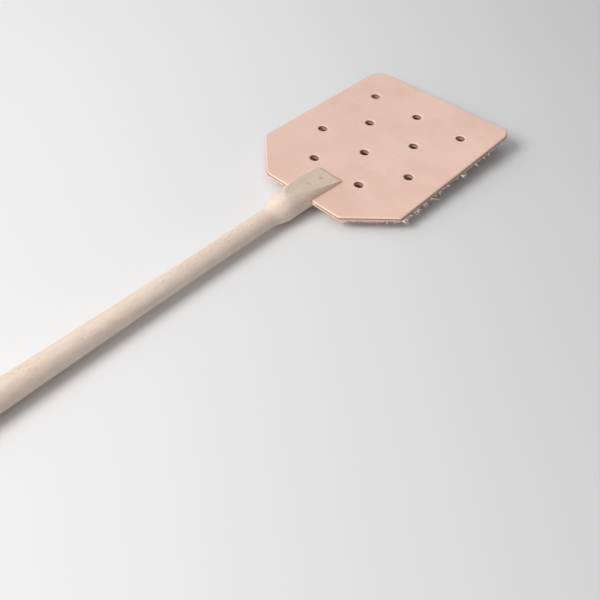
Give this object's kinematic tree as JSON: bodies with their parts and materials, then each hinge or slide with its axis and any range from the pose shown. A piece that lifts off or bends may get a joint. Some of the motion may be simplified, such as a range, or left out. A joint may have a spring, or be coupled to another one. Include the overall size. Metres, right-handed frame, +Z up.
{
  "type": "fly swatter",
  "caption": "Leather fly swatter: a turned beech handle planed to a thin jaw grips a flat, stiff flap with punched air holes.",
  "frame": {"origin": "bottom centre of the box around the whole object as it lies, on the surface that the head and the butt rest on", "axes": "+X along the handle from the butt towards the flap, +Z up through the grain side of the leather, +Y across the flap"},
  "size_m": [0.44, 0.0952, 0.0162],
  "materials": {
    "beech": "bare turned beech, fine sanded, unvarnished",
    "leather": "natural vegetable tanned, smooth grain side, undyed",
    "glue": "cured wood glue",
    "dowel": "end grain of beech dowels, planed flush"
  },
  "bodies": {
    "handle": {"handle": "beech", "flap_root": "leather", "glue_film": "glue", "front_pin": "dowel", "rear_pin": "dowel"},
    "flap": {"flap_blade": "leather"}
  },
  "joints": [
    {"name": "flap_bend", "type": "hinge", "parent": "handle", "child": "flap", "pos_m": [0.1205, 0, 0.0081], "axis": [0, -1, 0], "range_deg": [-40, 40], "stiffness_Nm_per_rad": 0.35, "springref_deg": 1.72}
  ]
}
